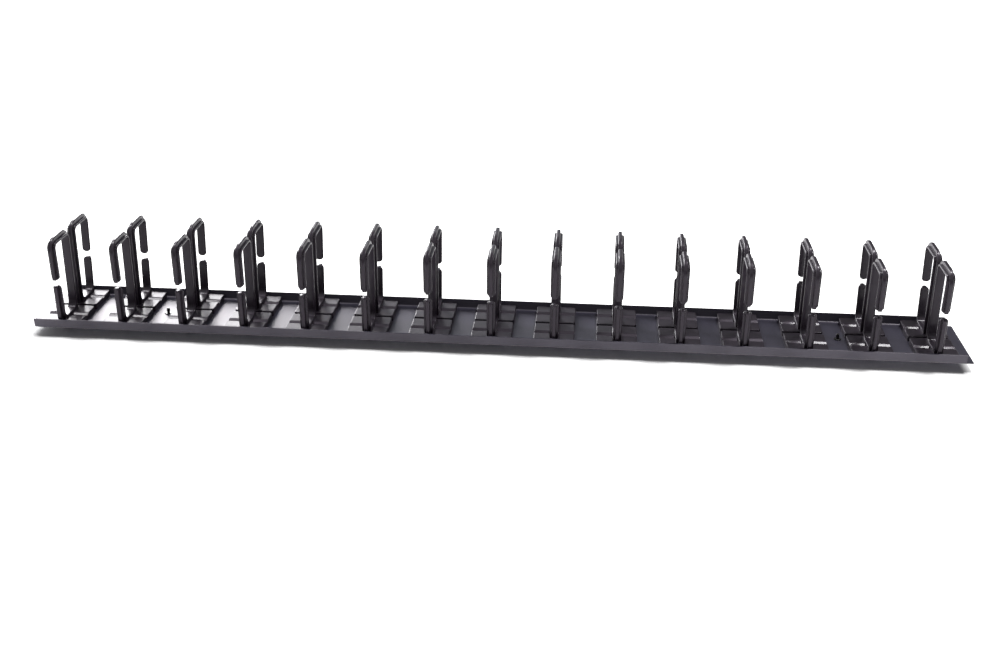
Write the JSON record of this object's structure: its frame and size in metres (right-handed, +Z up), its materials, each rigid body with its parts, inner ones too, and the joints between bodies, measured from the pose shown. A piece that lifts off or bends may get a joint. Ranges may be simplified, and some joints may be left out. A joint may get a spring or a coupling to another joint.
{
  "type": "vertical cable manager",
  "caption": "Long folded steel tray carrying back-to-back rows of open plastic cable rings, each with a finger gap so that cables can be laid in along a rack.",
  "frame": {"origin": "on the ground below the middle of the tray, as it lies on the tips of its snap legs", "axes": "+X along the tray, +Y across it towards the rear rings, +Z up out of the tray"},
  "size_m": [1.0058, 0.1068, 0.1092],
  "materials": {
    "tray_steel": "black powder coat, satin",
    "ring_plastic": "black moulded plastic, semi-gloss"
  },
  "bodies": {
    "root": {"tray": "tray_steel", "ring_front_01": "ring_plastic", "ring_front_02": "ring_plastic", "ring_front_03": "ring_plastic", "ring_front_04": "ring_plastic", "ring_front_05": "ring_plastic", "ring_front_06": "ring_plastic", "ring_front_07": "ring_plastic", "ring_front_08": "ring_plastic", "ring_front_09": "ring_plastic", "ring_front_10": "ring_plastic", "ring_front_11": "ring_plastic", "ring_front_12": "ring_plastic", "ring_front_13": "ring_plastic", "ring_front_14": "ring_plastic", "ring_front_15": "ring_plastic", "ring_rear_01": "ring_plastic", "ring_rear_02": "ring_plastic", "ring_rear_03": "ring_plastic", "ring_rear_04": "ring_plastic", "ring_rear_05": "ring_plastic", "ring_rear_06": "ring_plastic", "ring_rear_07": "ring_plastic", "ring_rear_08": "ring_plastic", "ring_rear_09": "ring_plastic", "ring_rear_10": "ring_plastic", "ring_rear_11": "ring_plastic", "ring_rear_12": "ring_plastic", "ring_rear_13": "ring_plastic", "ring_rear_14": "ring_plastic", "ring_rear_15": "ring_plastic"}
  },
  "joints": []
}
